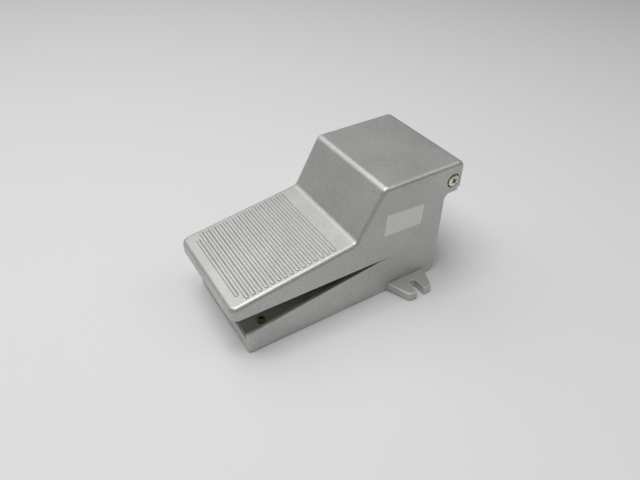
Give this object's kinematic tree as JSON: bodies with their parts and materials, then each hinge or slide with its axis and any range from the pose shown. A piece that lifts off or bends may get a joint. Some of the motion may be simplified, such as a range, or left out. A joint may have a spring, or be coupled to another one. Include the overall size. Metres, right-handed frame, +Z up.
{
  "type": "pneumatic foot valve",
  "caption": "Foot-operated air valve: a ribbed pedal with a raised hood hinged on a cast base, pressing a sprung spool valve with threaded ports at the back.",
  "frame": {"origin": "on the floor, under the middle of the footprint's box", "axes": "+Z up, -Y towards the toe of the pedal, +Y towards the ports, +X to the side that carries the label"},
  "size_m": [0.127, 0.194, 0.102],
  "materials": {
    "silver_coat": "fine-grained silver-grey sprayed coat on die-cast aluminium",
    "bare_alloy": "machined aluminium",
    "zinc_plate": "pale zinc plate",
    "steel": "turned steel",
    "bronze": "sintered bronze",
    "yellow_zinc": "yellow zinc plate",
    "label_film": "plain printed film, left bare",
    "rubber": "matt black rubber"
  },
  "bodies": {
    "base_unit": {"base": "silver_coat", "hinge_screws": "zinc_plate", "hinge_washers": "steel", "hinge_nuts": "steel", "valve_body": "bare_alloy", "valve_screws": "steel", "guide_bush": "bronze", "guide_bush_seal": "rubber", "guide_bush_clip": "steel", "wiper_seal": "rubber", "return_spring": "steel", "end_plug": "bare_alloy", "end_plug_seal": "rubber", "end_plug_clip": "steel", "rubber_feet": "rubber", "foot_screws": "yellow_zinc"},
    "pedal_unit": {"pedal": "silver_coat", "hinge_bushes": "bronze", "label": "label_film"},
    "spool_unit": {"spool": "steel", "spool_seals": "rubber", "plunger": "steel"}
  },
  "joints": [
    {"name": "pedal_hinge", "type": "hinge", "parent": "base_unit", "child": "pedal_unit", "pos_m": [0, 0.0872, 0.0875], "axis": [1, 0, 0], "range_deg": [0, 6], "stiffness_Nm_per_rad": 8, "springref_deg": -11.46},
    {"name": "spool_slide", "type": "slide", "parent": "base_unit", "child": "spool_unit", "axis": [0, 0, -1], "range_m": [0, 0.0039], "deforming": ["return_spring"]}
  ],
  "couplings": [
    {"joint": "spool_slide", "follows": "pedal_hinge", "m_per_rad": 0.0372}
  ]
}
